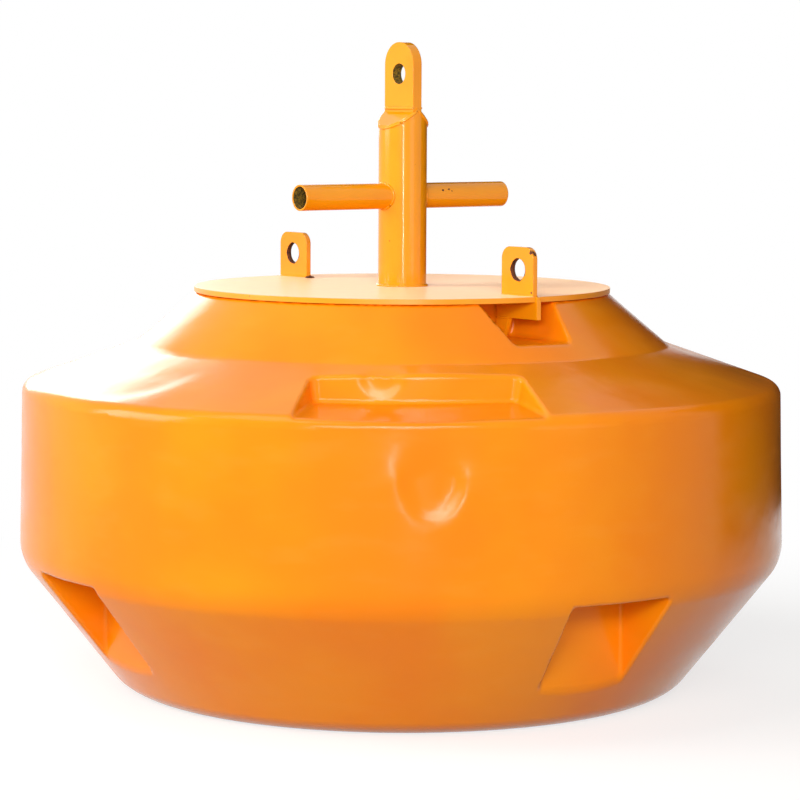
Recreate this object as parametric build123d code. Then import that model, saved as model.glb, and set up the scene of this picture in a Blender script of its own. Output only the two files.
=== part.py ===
from build123d import *
import os
from math import radians, tan

# A mooring buoy: a moulded plastic hull with painted steelwork on top.
# Millimetres. The origin is the centre of the flat bottom, and +Z is up.
# The two lifting lugs stand on the Y axis, and the crossbar lies along X.

# Clearance between pieces that fit inside each other.
FIT = 0.3

# Hull profile, as radius and height of its sharp corners.
BOTTOM_R = 654.0
WALL_FOOT_R = 902.0
WALL_FOOT_Z = 316.0
WALL_TOP_R = 893.0
WALL_TOP_Z = 720.0
NECK_FOOT_R = 628.0
NECK_FOOT_Z = 812.0
NECK_TOP_R = 484.0
HULL_TOP_Z = 933.0

# Rounding of those corners, from the bottom up.
BOTTOM_ROUND = 90.0
WALL_FOOT_ROUND = 94.0
WALL_TOP_ROUND = 28.0
NECK_FOOT_ROUND = 20.0

# The hull isn't keyed to the steelwork. Its pockets stand this far round from the lugs.
HULL_TURN = -5.3

# Stacking pockets in the shoulder, evenly spaced round the hull.
SHOULDER_POCKETS = 3
SHOULDER_BACK_R = 677.0
SHOULDER_BACK_WIDTH = 430.0
SHOULDER_MOUTH_WIDTH = 570.0
SHOULDER_BACK_BOW = 20.0
SHOULDER_FLOOR_Z = 731.0
SHOULDER_FLOOR_FALL = 15.0
SHOULDER_SIDE_DRAFT = 6.0
SHOULDER_CORNER_ROUND = 22.0

# Fork pockets in the lower cone, evenly spaced round the hull.
LOWER_POCKETS = 4
LOWER_BACK_R = 730.0
LOWER_BACK_WIDTH = 220.0
LOWER_MOUTH_WIDTH = 265.0
LOWER_ROOF_DROP = 4.0

# Pockets in the neck, one under each lifting lug.
NECK_POCKET_BACK_R = 350.0
NECK_POCKET_FLOOR_Z = 847.0
NECK_POCKET_FLOOR_WIDTH = 148.0
NECK_POCKET_TOP_WIDTH = 195.0

# Recess in the bottom, which hides the mooring eye.
RECESS_MOUTH_R = 260.0
RECESS_ROOF_R = 235.0
RECESS_DEPTH = 175.0

# Deck plate.
DECK_R = 491.0
DECK_THICK = 12.0

# Post, a pipe whose top is cut to a ridge and closed by two sloping caps.
POST_OD = 114.3
POST_WALL = 6.3
POST_HEIGHT = 418.0
POST_BEVEL_DROP = 41.0
POST_CAP_THICK = 6.0

# Padeye, a plate let into slots in the top of the post.
PADEYE_WIDTH = 108.0
PADEYE_THICK = 25.0
PADEYE_ABOVE_POST = 154.0
PADEYE_BELOW_RIDGE = 110.0
PADEYE_HOLE_D = 48.0
PADEYE_HOLE_ABOVE_POST = 80.0

# Crossbar, a pipe through the post with open ends.
CROSSBAR_OD = 60.3
CROSSBAR_WALL = 4.0
CROSSBAR_LENGTH = 600.0
CROSSBAR_ABOVE_DECK = 212.0

# Lifting lugs, plates let into notches in the deck's rim.
LUG_THICK = 12.0
LUG_INNER_R = 374.0
LUG_WIDTH = 110.0
LUG_HEIGHT = 110.0
LUG_CORNER = 28.0
LUG_HOLE_D = 50.0
LUG_HOLE_ABOVE_DECK = 59.0
LUG_HOLE_INSET = 53.0
LUG_ARM_DEPTH = 40.0
LUG_ARM_PROUD = 7.0
LUG_ARM_INNER_GAP = 6.0

# Tapered foot between each lug's arm and the floor of its pocket.
FOOT_THICK = 12.0
FOOT_TOP_WIDTH = 44.0
FOOT_TIP_WIDTH = 24.0

# Steelwork below: a tube through the hull, a clamping plate and a mooring eye.
CORE_OD = 139.7
CORE_WALL = 8.0
BOTTOM_PLATE_R = 200.0
BOTTOM_PLATE_THICK = 20.0
CORE_BELOW_PLATE = 20.0
MOORING_EYE_WIDTH = 134.0
MOORING_EYE_THICK = 30.0
MOORING_EYE_HOLE_D = 55.0
MOORING_EYE_GROUND_GAP = 12.0
MOORING_EYE_IN_TUBE = 120.0

# Heights and radii that follow from the sizes above.
DECK_TOP_Z = HULL_TOP_Z + DECK_THICK
POST_TOP_Z = DECK_TOP_Z + POST_HEIGHT
CROSSBAR_Z = DECK_TOP_Z + CROSSBAR_ABOVE_DECK
ARM_FOOT_Z = HULL_TOP_Z - LUG_ARM_DEPTH
ARM_OUTER_R = DECK_R + LUG_ARM_PROUD
ARM_INNER_R = NECK_POCKET_BACK_R + LUG_ARM_INNER_GAP
RECESS_ROOF_Z = RECESS_DEPTH
CORE_FOOT_Z = RECESS_ROOF_Z - BOTTOM_PLATE_THICK - CORE_BELOW_PLATE

# Name and turn about +Z, in degrees from +X, of the lifting lugs.
LUGS = (("near", -90.0), ("far", 90.0))


def turned(shape, angle):
    """The shape turned about the buoy's axis."""
    return Rot(0, 0, angle) * shape


def spaced(count):
    """Evenly spaced angles of the hull's pockets."""
    return [HULL_TURN + i * 360.0 / count for i in range(count)]


def side_prism(points, width):
    """A prism whose outline is radius and height, and whose width is along Y."""
    outline = make_face(Plane.XZ * Polyline(*points, close=True))
    return extrude(outline, width / 2, both=True)


def pipe(outer_d, wall, length):
    """An open pipe that stands on the origin."""
    centred = (Align.CENTER, Align.CENTER, Align.MIN)
    outside = Cylinder(outer_d / 2, length, align=centred)
    return outside - Cylinder(outer_d / 2 - wall, length, align=centred)


def hull_body():
    """The hull as turned, before its pockets are cut."""
    edge = FilletPolyline(
        (0, 0),
        (BOTTOM_R, 0),
        (WALL_FOOT_R, WALL_FOOT_Z),
        (WALL_TOP_R, WALL_TOP_Z),
        (NECK_FOOT_R, NECK_FOOT_Z),
        (NECK_TOP_R, HULL_TOP_Z),
        (0, HULL_TOP_Z),
        radius=[BOTTOM_ROUND, WALL_FOOT_ROUND, WALL_TOP_ROUND, NECK_FOOT_ROUND, 0],
    )
    axis = Line((0, HULL_TOP_Z), (0, 0))
    return revolve(Plane.XZ * make_face([edge, axis]), Axis.Z)


def flared_face(back_r, back_width, mouth_r, mouth_width, reach, height):
    """A pocket in plan: its sides open outwards from the back wall, past the mouth."""
    flare = (mouth_width - back_width) / (mouth_r - back_r) / 2
    back_half = back_width / 2
    half = back_half + flare * (reach - back_r)
    corners = [(back_r, -back_half), (reach, -half), (reach, half), (back_r, back_half)]
    return make_face(Plane.XY.offset(height) * Polyline(*corners, close=True))


def shoulder_pocket():
    """The cutter for one shoulder pocket, on +X: sides that lean outwards, a bowed back wall."""
    reach = WALL_TOP_R + 60
    top = NECK_FOOT_Z
    blank_r = SHOULDER_BACK_R - 2 * SHOULDER_BACK_BOW
    fall = SHOULDER_FLOOR_FALL / (WALL_TOP_R - SHOULDER_BACK_R)
    inner_floor = SHOULDER_FLOOR_Z + fall * (SHOULDER_BACK_R - blank_r)
    outer_floor = SHOULDER_FLOOR_Z - fall * (reach - SHOULDER_BACK_R)
    lean = 2 * tan(radians(SHOULDER_SIDE_DRAFT))
    levels = []
    for height in (outer_floor, top):
        wider = lean * (height - SHOULDER_FLOOR_Z)
        back_width = SHOULDER_BACK_WIDTH + wider
        mouth_width = SHOULDER_MOUTH_WIDTH + wider
        levels.append(flared_face(blank_r, back_width, WALL_TOP_R, mouth_width, reach, height))
    side = [(blank_r, inner_floor), (reach, outer_floor), (reach, top), (blank_r, top)]
    cutter = loft(levels, ruled=True) & side_prism(side, 4 * SHOULDER_MOUTH_WIDTH)
    bow_r = ((SHOULDER_BACK_WIDTH / 2) ** 2 + SHOULDER_BACK_BOW**2) / (2 * SHOULDER_BACK_BOW)
    cutter -= Pos(SHOULDER_BACK_R - bow_r, 0, 0) * Cylinder(bow_r, 2 * top)
    upright = cutter.edges().filter_by(lambda edge: edge.bounding_box().size.Z > 0.8 * (top - inner_floor))
    return fillet(upright.sort_by(Axis.X)[:2], SHOULDER_CORNER_ROUND)


def lower_pocket():
    """The cutter for one fork pocket, on +X."""
    reach = WALL_FOOT_R + 60
    plan = flared_face(LOWER_BACK_R, LOWER_BACK_WIDTH, WALL_FOOT_R, LOWER_MOUTH_WIDTH, reach, 0)
    return extrude(plan, WALL_FOOT_Z - LOWER_ROOF_DROP, dir=(0, 0, 1))


def neck_pocket():
    """The cutter for the pocket under one lifting lug, on +X."""
    flare = (NECK_POCKET_TOP_WIDTH - NECK_POCKET_FLOOR_WIDTH) / (HULL_TOP_Z - NECK_POCKET_FLOOR_Z) / 2
    top = DECK_TOP_Z
    floor_half = NECK_POCKET_FLOOR_WIDTH / 2
    top_half = floor_half + flare * (top - NECK_POCKET_FLOOR_Z)
    section = Polyline(
        (-floor_half, NECK_POCKET_FLOOR_Z),
        (floor_half, NECK_POCKET_FLOOR_Z),
        (top_half, top),
        (-top_half, top),
        close=True,
    )
    face = make_face(Plane.YZ.offset(NECK_POCKET_BACK_R) * section)
    return extrude(face, NECK_FOOT_R - NECK_POCKET_BACK_R, dir=(1, 0, 0))


def bottom_recess():
    """The cutter for the round recess in the bottom, with the bore for the core tube."""
    centred = (Align.CENTER, Align.CENTER, Align.MIN)
    bowl = Cone(RECESS_MOUTH_R, RECESS_ROOF_R, RECESS_DEPTH, align=centred)
    return bowl + Cylinder(CORE_OD / 2 + FIT, HULL_TOP_Z, align=centred)


def make_hull():
    """The moulded hull with its pockets and its bottom recess."""
    body = hull_body()
    cutters = [turned(shoulder_pocket(), a) for a in spaced(SHOULDER_POCKETS)]
    cutters += [turned(lower_pocket(), a) for a in spaced(LOWER_POCKETS)]
    cutters += [turned(neck_pocket(), a + HULL_TURN) for _, a in LUGS]
    return body - cutters - bottom_recess()


def make_deck_plate():
    """The round deck plate, with a rim notch for each lug."""
    centred = (Align.CENTER, Align.CENTER, Align.MIN)
    plate = Pos(0, 0, HULL_TOP_Z) * Cylinder(DECK_R, DECK_THICK, align=centred)
    notch_inner = LUG_INNER_R - FIT
    notch_length = DECK_R + LUG_ARM_PROUD - notch_inner
    notch = Pos(notch_inner, 0, HULL_TOP_Z) * Box(
        notch_length, LUG_THICK + 2 * FIT, DECK_THICK, align=(Align.MIN, Align.CENTER, Align.MIN)
    )
    return plate - [turned(notch, a) for _, a in LUGS]


def padeye_blank(clearance):
    """The padeye's plate without its hole, grown by a clearance in thickness and width."""
    half = PADEYE_WIDTH / 2 + clearance
    top = POST_TOP_Z + PADEYE_ABOVE_POST
    foot = POST_TOP_Z - PADEYE_BELOW_RIDGE - clearance
    outline = FilletPolyline((-half, foot), (-half, top), (half, top), (half, foot), radius=PADEYE_WIDTH / 2 - 1)
    face = make_face([Plane.YZ * outline, Plane.YZ * Line((half, foot), (-half, foot))])
    return extrude(face, PADEYE_THICK / 2 + clearance, both=True)


def make_padeye():
    """The padeye, whose hole runs along X."""
    hole_z = POST_TOP_Z + PADEYE_HOLE_ABOVE_POST
    hole = Pos(0, 0, hole_z) * Rot(0, 90, 0) * Cylinder(PADEYE_HOLE_D / 2, 2 * PADEYE_THICK)
    return padeye_blank(0) - hole


def roof_cutter(depth):
    """What is above the post's two slopes, moved down square to them by a depth."""
    reach = POST_OD
    slope = POST_BEVEL_DROP / (POST_OD / 2)
    ridge = POST_TOP_Z - depth * (1 + slope**2) ** 0.5
    top = POST_TOP_Z + POST_OD
    points = [(-reach, ridge - slope * reach), (0, ridge), (reach, ridge - slope * reach), (reach, top), (-reach, top)]
    return side_prism(points, 2 * POST_OD)


def crossbar_space(clearance):
    """The crossbar's outside as a rod, with a clearance."""
    rod = Cylinder(CROSSBAR_OD / 2 + clearance, CROSSBAR_LENGTH)
    return Pos(0, 0, CROSSBAR_Z) * Rot(0, 90, 0) * rod


def make_post():
    """The post, cut to its ridge and slotted for the padeye and the crossbar."""
    tube = Pos(0, 0, DECK_TOP_Z) * pipe(POST_OD, POST_WALL, POST_HEIGHT)
    return tube - roof_cutter(POST_CAP_THICK) - padeye_blank(FIT) - crossbar_space(FIT)


def make_post_cap(side):
    """One sloping cap of the post, on +X for side 1 and on -X for side -1."""
    centred = (Align.CENTER, Align.CENTER, Align.MIN)
    solid = Pos(0, 0, DECK_TOP_Z) * Cylinder(POST_OD / 2, POST_HEIGHT, align=centred)
    lid = solid - roof_cutter(0) & roof_cutter(POST_CAP_THICK)
    half = Pos(side * POST_OD / 2, 0, POST_TOP_Z) * Box(POST_OD, 2 * POST_OD, 2 * POST_OD)
    return (lid & half) - padeye_blank(FIT)


def make_crossbar():
    """The crossbar, an open pipe."""
    bar = pipe(CROSSBAR_OD, CROSSBAR_WALL, CROSSBAR_LENGTH)
    return Pos(-CROSSBAR_LENGTH / 2, 0, CROSSBAR_Z) * Rot(0, 90, 0) * bar


def lug_outline():
    """A lug's corners as radius and height: the eye above the deck and the arm below it."""
    eye_outer = LUG_INNER_R + LUG_WIDTH
    eye_top = DECK_TOP_Z + LUG_HEIGHT
    return [
        (LUG_INNER_R, HULL_TOP_Z),
        (LUG_INNER_R, eye_top),
        (eye_outer, eye_top),
        (eye_outer, DECK_TOP_Z),
        (ARM_OUTER_R, DECK_TOP_Z),
        (ARM_OUTER_R, ARM_FOOT_Z),
        (ARM_INNER_R, ARM_FOOT_Z),
        (ARM_INNER_R, HULL_TOP_Z),
    ]


def make_lug():
    """One lifting lug on +X, with its arm under the deck."""
    plate = side_prism(lug_outline(), LUG_THICK)
    corners = plate.edges().filter_by(Axis.Y).group_by(Axis.Z)[-1]
    plate = fillet(corners, LUG_CORNER)
    hole_r = LUG_INNER_R + LUG_WIDTH - LUG_HOLE_INSET
    hole_z = DECK_TOP_Z + LUG_HOLE_ABOVE_DECK
    hole = Pos(hole_r, 0, hole_z) * Rot(90, 0, 0) * Cylinder(LUG_HOLE_D / 2, 2 * LUG_THICK)
    return plate - hole


def make_foot():
    """The tapered foot under one lug's arm, on +X."""
    points = [
        (ARM_INNER_R, ARM_FOOT_Z),
        (ARM_INNER_R + FOOT_TOP_WIDTH, ARM_FOOT_Z),
        (ARM_INNER_R + FOOT_TIP_WIDTH, NECK_POCKET_FLOOR_Z),
        (ARM_INNER_R, NECK_POCKET_FLOOR_Z),
    ]
    return side_prism(points, FOOT_THICK)


def make_core_tube():
    """The tube through the hull, which ties the deck plate to the bottom plate."""
    tube = Pos(0, 0, CORE_FOOT_Z) * pipe(CORE_OD, CORE_WALL, HULL_TOP_Z - CORE_FOOT_Z)
    return tube - mooring_eye_blank(FIT)


def make_bottom_plate():
    """The round plate that clamps the hull from below, inside its recess."""
    centred = (Align.CENTER, Align.CENTER, Align.MAX)
    plate = Cylinder(BOTTOM_PLATE_R, BOTTOM_PLATE_THICK, align=centred)
    plate -= Cylinder(CORE_OD / 2 + FIT, BOTTOM_PLATE_THICK, align=centred)
    return Pos(0, 0, RECESS_ROOF_Z) * plate


def mooring_eye_blank(clearance):
    """The mooring eye's plate without its hole, grown by a clearance."""
    half = MOORING_EYE_WIDTH / 2 + clearance
    foot = MOORING_EYE_GROUND_GAP
    top = CORE_FOOT_Z + MOORING_EYE_IN_TUBE + clearance
    outline = FilletPolyline((-half, top), (-half, foot), (half, foot), (half, top), radius=MOORING_EYE_WIDTH / 2 - 1)
    face = make_face([Plane.YZ * outline, Plane.YZ * Line((half, top), (-half, top))])
    return extrude(face, MOORING_EYE_THICK / 2 + clearance, both=True)


def make_mooring_eye():
    """The mooring eye in the bottom recess, whose hole runs along X."""
    hole_z = MOORING_EYE_GROUND_GAP + MOORING_EYE_WIDTH / 2
    hole = Pos(0, 0, hole_z) * Rot(0, 90, 0) * Cylinder(MOORING_EYE_HOLE_D / 2, 2 * MOORING_EYE_THICK)
    return mooring_eye_blank(0) - hole


def main():
    """Builds every piece and writes it to its own file."""
    pieces = {
        "hull": make_hull(),
        "deck_plate": make_deck_plate(),
        "post": make_post(),
        "post_cap_left": make_post_cap(-1),
        "post_cap_right": make_post_cap(1),
        "crossbar": make_crossbar(),
        "padeye": make_padeye(),
        "core_tube": make_core_tube(),
        "bottom_plate": make_bottom_plate(),
        "mooring_eye": make_mooring_eye(),
    }
    for name, angle in LUGS:
        pieces["lug_" + name] = turned(make_lug(), angle)
        pieces["lug_foot_" + name] = turned(make_foot(), angle)
    os.makedirs("parts", exist_ok=True)
    for name, shape in pieces.items():
        export_step(shape, f"parts/{name}.step")


if __name__ == "__main__":
    main()
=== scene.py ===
"""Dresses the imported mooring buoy: moulded hull, painted steelwork, welds and wear, and a studio."""

import math

import bmesh
import bpy
import numpy as np
from bpy.props import FloatProperty, FloatVectorProperty, PointerProperty
from bpy.types import Operator, Panel, PropertyGroup
from mathutils import Matrix, Vector, noise


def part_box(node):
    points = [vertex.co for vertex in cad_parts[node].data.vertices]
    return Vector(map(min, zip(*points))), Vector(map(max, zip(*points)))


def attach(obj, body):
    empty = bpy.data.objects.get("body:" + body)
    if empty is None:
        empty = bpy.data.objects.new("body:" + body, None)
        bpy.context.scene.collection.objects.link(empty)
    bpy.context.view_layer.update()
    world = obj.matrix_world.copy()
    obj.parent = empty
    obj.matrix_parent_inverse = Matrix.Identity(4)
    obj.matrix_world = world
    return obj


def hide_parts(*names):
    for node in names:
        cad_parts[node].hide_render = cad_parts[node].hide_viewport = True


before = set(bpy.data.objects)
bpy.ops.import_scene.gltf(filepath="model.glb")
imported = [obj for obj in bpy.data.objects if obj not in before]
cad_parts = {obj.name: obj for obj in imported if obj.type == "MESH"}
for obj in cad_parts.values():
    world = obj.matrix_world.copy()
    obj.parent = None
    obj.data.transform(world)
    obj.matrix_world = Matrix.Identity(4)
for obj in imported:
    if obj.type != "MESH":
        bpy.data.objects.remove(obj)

bl_info = {
    "name": "Mooring Buoy",
    "version": (1, 0, 0),
    "blender": (4, 5, 0),
    "location": "View3D > Sidebar > Mooring Buoy",
    "description": "Dresses the packed mooring buoy and sets up a studio for it",
    "category": "Object",
}

MM = 0.001
BODY = "root"

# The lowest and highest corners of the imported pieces, which the dressing is placed by.
DECK_LOW, DECK_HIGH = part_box("deck_plate")
_, POST_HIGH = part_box("post")
CAP_LOW, CAP_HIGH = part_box("post_cap_right")
BAR_LOW, BAR_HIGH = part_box("crossbar")
EYE_LOW, EYE_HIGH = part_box("padeye")
_, LUG_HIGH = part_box("lug_far")
FOOT_LOW, FOOT_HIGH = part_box("lug_foot_far")
PLATE_LOW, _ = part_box("bottom_plate")
_, CORE_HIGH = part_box("core_tube")
DECK_TOP = DECK_HIGH.z
DECK_R = DECK_HIGH.x
POST_R = POST_HIGH.x
CORE_R = CORE_HIGH.x
BAR_R = (BAR_HIGH.z - BAR_LOW.z) / 2
BAR_Z = (BAR_HIGH.z + BAR_LOW.z) / 2

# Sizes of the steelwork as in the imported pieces. Each hole is its place along Y, its height and
# its radius.
CAP_SLOPE = 41 / 57.15
CAP_THICK = 6 * MM
BAR_WALL = 4 * MM
LUG_INNER_Y = 374 * MM
LUG_OUTER_Y = 484 * MM
LUG_HALF_THICK = 6 * MM
LUG_HOLE = (431 * MM, DECK_TOP + 59 * MM, 25 * MM)
EYE_HOLE = (0.0, EYE_HIGH.z - 74 * MM, 24 * MM)

# The hull's profile: the radius and height of each of its sharp corners.
PROFILE = {
    "bottom": (654 * MM, 0.0),
    "wall_foot": (902 * MM, 316 * MM),
    "wall_top": (893 * MM, 720 * MM),
    "neck_foot": (628 * MM, 812 * MM),
    "neck_top": (484 * MM, DECK_LOW.z),
}

# How each of these corners is rounded: the radius, and the angle that the surface turns by.
ROUNDS = {
    "bottom": (90 * MM, math.radians(52)),
    "wall_foot": (94 * MM, math.radians(39)),
    "wall_top": (28 * MM, math.radians(70)),
    "neck_foot": (22 * MM, math.radians(21)),
    "neck_top": (6 * MM, math.radians(40)),
}

# Turn of the hull's pockets about +Z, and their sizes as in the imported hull.
HULL_TURN = math.radians(-5.3)
SHOULDER_POCKETS = 3
SHOULDER_BACK_R = 677 * MM
SHOULDER_BLANK_R = 637 * MM
SHOULDER_BLANK_WIDTH = 430 * MM
SHOULDER_MOUTH_R = 893 * MM
SHOULDER_MOUTH_WIDTH = 570 * MM
SHOULDER_BOW_R = 1170 * MM
SHOULDER_FLOOR_Z = 731 * MM
SHOULDER_FLOOR_FALL = 15 / 216
SHOULDER_DRAFT = math.radians(6)
SHOULDER_CORNER_ROUND = 24 * MM
SHOULDER_CORNER_TURN = math.radians(75)
LOWER_POCKETS = 4
LOWER_BACK_R = 730 * MM
LOWER_BACK_WIDTH = 220 * MM
LOWER_MOUTH_R = 902 * MM
LOWER_MOUTH_WIDTH = 265 * MM
LOWER_ROOF_Z = 312 * MM
LOWER_CORNER_TURN = math.radians(83)
NECK_POCKET_ANGLES = (math.radians(-90), math.radians(90))
NECK_POCKET_BACK_R = 350 * MM
NECK_POCKET_FLOOR_Z = 847 * MM
NECK_POCKET_FLOOR_WIDTH = 148 * MM
NECK_POCKET_FLARE = 0.28
RECESS_MOUTH_R = 260 * MM
RECESS_TAPER = 25 / 175
RECESS_ROOF_Z = 175 * MM
RECESS_ROUND = 18 * MM

# Waves of the moulded skin: how many round the hull, their slant in radians a metre, where they
# start in radians, and how strong they are.
WAVES = ((3, 9, 0.0, 1.0), (7, -5, 1.0, 0.6), (11, 21, 2.0, 0.5))

# Dents in the moulding: bearing from the camera in degrees, distance from the axis, height, half
# width, half height and depth. Each has a flat bottom and a lip, which is softer at its top.
DENTS = (
    (4.3, 897 * MM, 598 * MM, 60 * MM, 80 * MM, 9.0 * MM),
    (-3.6, 690 * MM, 792 * MM, 44 * MM, 44 * MM, 5.5 * MM),
    (-52.0, 760 * MM, 770 * MM, 150 * MM, 60 * MM, 4.0 * MM),
    (-70.0, 760 * MM, 780 * MM, 130 * MM, 70 * MM, 4.0 * MM),
)
DENT_LIP = 4.5
DENT_TOP_SOFTNESS = 5

# Waves and dents fade out below this height, so that the bottom stays flat.
UNEVEN_FROM_Z = 60 * MM

# The camera, solved from the photograph: its place round the buoy, its distance and height in
# metres, its tilts, and its lens and the buoy's axis in pixels.
CAMERA_AZIMUTH = math.radians(-38)
CAMERA_DISTANCE = 7.192
CAMERA_HEIGHT = 1.393
CAMERA_PITCH = 0.0998
CAMERA_ROLL = math.radians(0.3)
FOCAL_PIXELS = 3044
FRAME_PIXELS = 800
AXIS_PIXEL = 401.5

# Lamps: bearing from the camera in degrees, distance and height, width and height of the panel,
# all in metres, and power in watts.
LAMPS = (
    ("front_panel", -12, 7.5, 2.5, 3.0, 2.0, 185),
    ("left_panel", -80, 5.5, 2.4, 3.0, 2.4, 188),
    ("right_panel", 46, 6.5, 1.4, 2.4, 1.8, 16),
    ("top_panel", -50, 3.0, 5.0, 3.0, 3.0, 75),
    ("rear_panel", -159, 6.0, 2.5, 2.6, 2.6, 95),
    ("bar", 4.5, 8.0, 3.15, 3.0, 1.1, 190),
    ("strip", 4, 8.5, 1.6, 0.24, 2.5, 95),
)

# Flags: first and last bearing from the camera in degrees, and lowest and highest point in metres.
FLAGS = (
    ("flag_right", 95.0, 160.0, 0.0, 3.6),
    ("flag_right_high", 160.0, 177.0, 1.85, 5.0),
)
FLAG_DISTANCE = 3.6


def linear(code):
    """The linear colour of an sRGB hex code, with full opacity."""
    parts = [int(code[i : i + 2], 16) / 255 for i in (1, 3, 5)]
    return [c / 12.92 if c <= 0.04045 else ((c + 0.055) / 1.055) ** 2.4 for c in parts] + [1.0]


def around(bearing, distance, height=0.0):
    """A place round the buoy's axis, whose bearing starts at the camera and grows to its right."""
    turn = CAMERA_AZIMUTH + bearing
    return Vector((math.sin(turn) * distance, -math.cos(turn) * distance, height))


def full_circle(count):
    """The angles of a full circle in equal steps."""
    return [2 * math.pi * i / count for i in range(count)]


def add_node(tree, kind, settings=None, inputs=None):
    """Adds a node, sets its attributes, and gives each input a value or another node's output."""
    node = tree.nodes.new(kind)
    for name, value in (settings or {}).items():
        setattr(node, name, value)
    for name, value in (inputs or {}).items():
        if isinstance(value, bpy.types.NodeSocket):
            tree.links.new(value, node.inputs[name])
        else:
            node.inputs[name].default_value = value
    return node


def new_material(name):
    """An empty node material and its tree."""
    material = bpy.data.materials.new(name)
    material.use_nodes = True
    material.node_tree.nodes.clear()
    return material, material.node_tree


def add_piece(name, vertices, faces, material, normals=None):
    """A smooth mesh object that rides on the buoy."""
    mesh = bpy.data.meshes.new(name)
    mesh.from_pydata([tuple(v) for v in vertices], [], [tuple(f) for f in faces])
    mesh.polygons.foreach_set("use_smooth", [True] * len(mesh.polygons))
    if normals is not None:
        mesh.normals_split_custom_set_from_vertices([tuple(n) for n in normals])
    mesh.materials.append(material)
    piece = bpy.data.objects.new(name, mesh)
    bpy.context.scene.collection.objects.link(piece)
    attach(piece, BODY)
    return piece


# The hull as a distance field: below zero inside it, and above zero outside.


def plane_through(start, end, r, z):
    """Distance from the line between two profile corners, which has the hull on its left."""
    dr, dz = end[0] - start[0], end[1] - start[1]
    return ((r - start[0]) * dz - (z - start[1]) * dr) / math.hypot(dr, dz)


def both(a, b, radius, turn=math.pi / 2):
    """Inside both fields, with a rounded edge where the surfaces turn by an angle."""
    # The rounding of one surface starts at this depth under the other.
    k = radius * math.tan(turn / 2) * math.sin(turn)
    return np.minimum(np.maximum(a, b), -k) + np.hypot(np.maximum(a + k, 0), np.maximum(b + k, 0))


def either(a, b, radius, turn=math.pi / 2):
    """Inside at least one field, with a rounded inner corner."""
    return -both(-a, -b, radius, turn)


def turned_field(r, z):
    """The hull as turned, without its pockets."""
    corners = list(PROFILE.values())
    sides = [plane_through(start, end, r, z) for start, end in zip(corners, corners[1:])]
    cone, wall, shoulder, neck = sides
    body = both(-z, cone, *ROUNDS["bottom"])
    body = both(body, wall, *ROUNDS["wall_foot"])
    slopes = either(shoulder, neck, *ROUNDS["neck_foot"])
    body = both(body, slopes, *ROUNDS["wall_top"])
    return both(body, z - PROFILE["neck_top"][1], *ROUNDS["neck_top"])


def turned_axes(points, angle):
    """Distance out along a direction, and distance to its left."""
    u = points[:, 0] * math.cos(angle) + points[:, 1] * math.sin(angle)
    v = points[:, 1] * math.cos(angle) - points[:, 0] * math.sin(angle)
    return u, v


def side_walls(v, half, *slopes):
    """Between two mirrored side walls whose half width changes by the slopes."""
    return (np.abs(v) - half) / math.sqrt(1 + sum(s * s for s in slopes))


def shoulder_pocket_field(points, angle, inner_round):
    """One stacking pocket in the shoulder: drafted sides, a bowed back wall and a falling floor."""
    u, v = turned_axes(points, angle)
    z = points[:, 2]
    flare = (SHOULDER_MOUTH_WIDTH - SHOULDER_BLANK_WIDTH) / (SHOULDER_MOUTH_R - SHOULDER_BLANK_R) / 2
    draft = math.tan(SHOULDER_DRAFT)
    half = SHOULDER_BLANK_WIDTH / 2 + flare * (u - SHOULDER_BLANK_R) + draft * (z - SHOULDER_FLOOR_Z)
    sides = side_walls(v, half, flare, draft)
    back = SHOULDER_BOW_R - np.hypot(u - SHOULDER_BACK_R + SHOULDER_BOW_R, v)
    floor = SHOULDER_FLOOR_Z - SHOULDER_FLOOR_FALL * (u - SHOULDER_BACK_R) - z
    pocket = both(sides, back, SHOULDER_CORNER_ROUND, SHOULDER_CORNER_TURN)
    return both(both(pocket, floor, inner_round), -u, inner_round)


def lower_pocket_field(points, angle, inner_round):
    """One fork pocket in the lower cone."""
    u, v = turned_axes(points, angle)
    flare = (LOWER_MOUTH_WIDTH - LOWER_BACK_WIDTH) / (LOWER_MOUTH_R - LOWER_BACK_R) / 2
    sides = side_walls(v, LOWER_BACK_WIDTH / 2 + flare * (u - LOWER_BACK_R), flare)
    pocket = both(sides, LOWER_BACK_R - u, inner_round, LOWER_CORNER_TURN)
    return both(pocket, points[:, 2] - LOWER_ROOF_Z, inner_round)


def neck_pocket_field(points, angle, inner_round):
    """One pocket in the neck, under a lifting lug."""
    u, v = turned_axes(points, angle)
    z = points[:, 2]
    half = NECK_POCKET_FLOOR_WIDTH / 2 + NECK_POCKET_FLARE * (z - NECK_POCKET_FLOOR_Z)
    sides = side_walls(v, half, NECK_POCKET_FLARE)
    pocket = both(sides, NECK_POCKET_BACK_R - u, inner_round)
    return both(pocket, NECK_POCKET_FLOOR_Z - z, inner_round)


def unevenness(points, look):
    """How far the skin stands out or in: slow moulding waves and a few shallow dents."""
    x, y, z = points.T
    turn = np.arctan2(y, x)
    waves = sum(share * np.sin(n * turn + slant * z + start) for n, slant, start, share in WAVES)
    out = look.wave_depth * waves
    for bearing, radius, height, half_width, half_height, depth in DENTS:
        centre = around(math.radians(bearing), radius, height)
        across = np.hypot(x - centre.x, y - centre.y) / half_width
        up = (z - height) / half_height
        lip = DENT_LIP / (1 + DENT_TOP_SOFTNESS * np.clip(up, 0, 1))
        out -= look.dent_depth * depth * (1 - np.tanh(lip * (np.hypot(across, up) - 1))) / 2
    return out * np.clip(z / UNEVEN_FROM_Z, 0, 1)


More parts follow.
